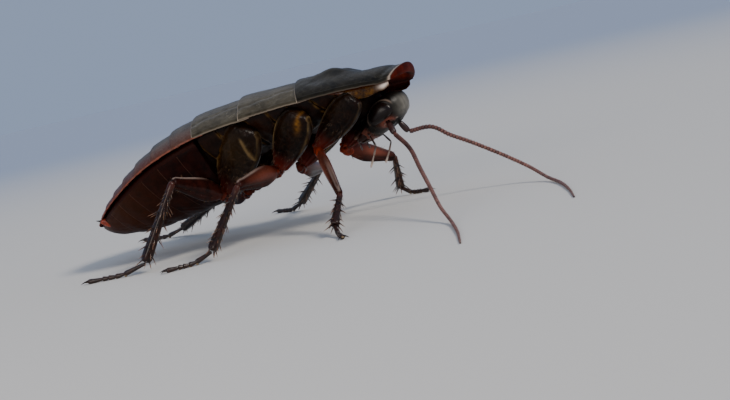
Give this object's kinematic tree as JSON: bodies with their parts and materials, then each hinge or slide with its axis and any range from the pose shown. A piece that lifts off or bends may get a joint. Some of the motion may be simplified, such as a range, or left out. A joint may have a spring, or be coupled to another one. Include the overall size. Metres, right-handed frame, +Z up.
{
  "type": "cockroach",
  "caption": "Life-size still model of a wingless hissing cockroach, standing on six spiny legs with its feelers laid forward on the floor.",
  "frame": {"origin": "middle of the whole model's box on the floor, at the level of the feet's undersides", "axes": "+X to the animal's front, +Y to its left, +Z up"},
  "size_m": [0.0934, 0.0794, 0.0252],
  "materials": {
    "back_plates": "near-black chitin with a satin, slightly greenish grey gloss",
    "trunk": "brown and olive skin between the plates and the legs",
    "abdomen": "glossy dark red-brown chitin with orange-brown side edges",
    "head": "smooth glossy black chitin",
    "eyes": "black compound eye, finely faceted",
    "antennae": "reddish-brown beaded rings, satin",
    "palps": "brown chitin with pale tips",
    "cerci": "orange-red nub with a dark point",
    "coxae": "dark brown glossy chitin, reddish below",
    "femora": "dark reddish-brown glossy chitin",
    "tibiae": "near-black glossy chitin with dark spines",
    "tarsi": "dark reddish-brown chitin with pale pads"
  },
  "bodies": {
    "root": {"abdomen": "abdomen", "antenna_left_base": "antennae", "antenna_left_middle": "antennae", "antenna_left_scape": "antennae", "antenna_left_tip": "antennae", "antenna_right_base": "antennae", "antenna_right_middle": "antennae", "antenna_right_scape": "antennae", "antenna_right_tip": "antennae", "cercus_left": "cerci", "cercus_right": "cerci", "coxa_front_left": "coxae", "coxa_front_right": "coxae", "coxa_hind_left": "coxae", "coxa_hind_right": "coxae", "coxa_middle_left": "coxae", "coxa_middle_right": "coxae", "eye_left": "eyes", "eye_right": "eyes", "femur_front_left": "femora", "femur_front_right": "femora", "femur_hind_left": "femora", "femur_hind_right": "femora", "femur_middle_left": "femora", "femur_middle_right": "femora", "head": "head", "labial_palp_left": "palps", "labial_palp_right": "palps", "maxillary_palp_left": "palps", "maxillary_palp_right": "palps", "mesonotum": "back_plates", "metanotum": "back_plates", "pronotum": "back_plates", "tarsus_front_left": "tarsi", "tarsus_front_right": "tarsi", "tarsus_hind_left": "tarsi", "tarsus_hind_right": "tarsi", "tarsus_middle_left": "tarsi", "tarsus_middle_right": "tarsi", "thorax": "trunk", "tibia_front_left": "tibiae", "tibia_front_right": "tibiae", "tibia_hind_left": "tibiae", "tibia_hind_right": "tibiae", "tibia_middle_left": "tibiae", "tibia_middle_right": "tibiae"}
  },
  "joints": []
}
